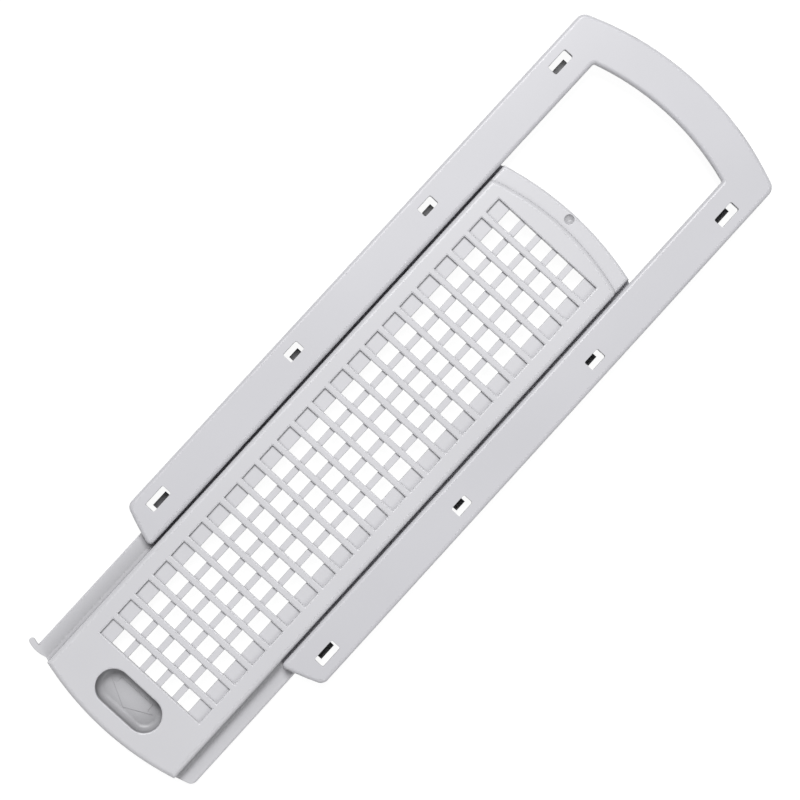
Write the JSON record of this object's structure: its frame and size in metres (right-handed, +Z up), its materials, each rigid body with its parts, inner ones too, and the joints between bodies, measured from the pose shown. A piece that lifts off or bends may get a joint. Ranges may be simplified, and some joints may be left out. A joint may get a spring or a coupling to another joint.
{
  "type": "lint filter guide",
  "caption": "Grey plastic dryer lint filter guide: an arched bezel frame with hooked arms, and a grille panel with a thumb recess that slides under them.",
  "frame": {"origin": "middle of the overall length and width, on the plane under the hook feet, with the panel drawn out as at rest", "axes": "+Y along the slide towards the arch, +Z up out of the bezel's face"},
  "size_m": [0.12, 0.4, 0.0126],
  "materials": {
    "grey_plastic": "satin moulded texture"
  },
  "bodies": {
    "frame": {"guide_frame": "grey_plastic"},
    "panel": {"grille_panel": "grey_plastic"}
  },
  "joints": [
    {"name": "panel_slide", "type": "slide", "parent": "frame", "child": "panel", "axis": [0, 1, 0], "range_m": [-0.1, 0.0688]}
  ]
}
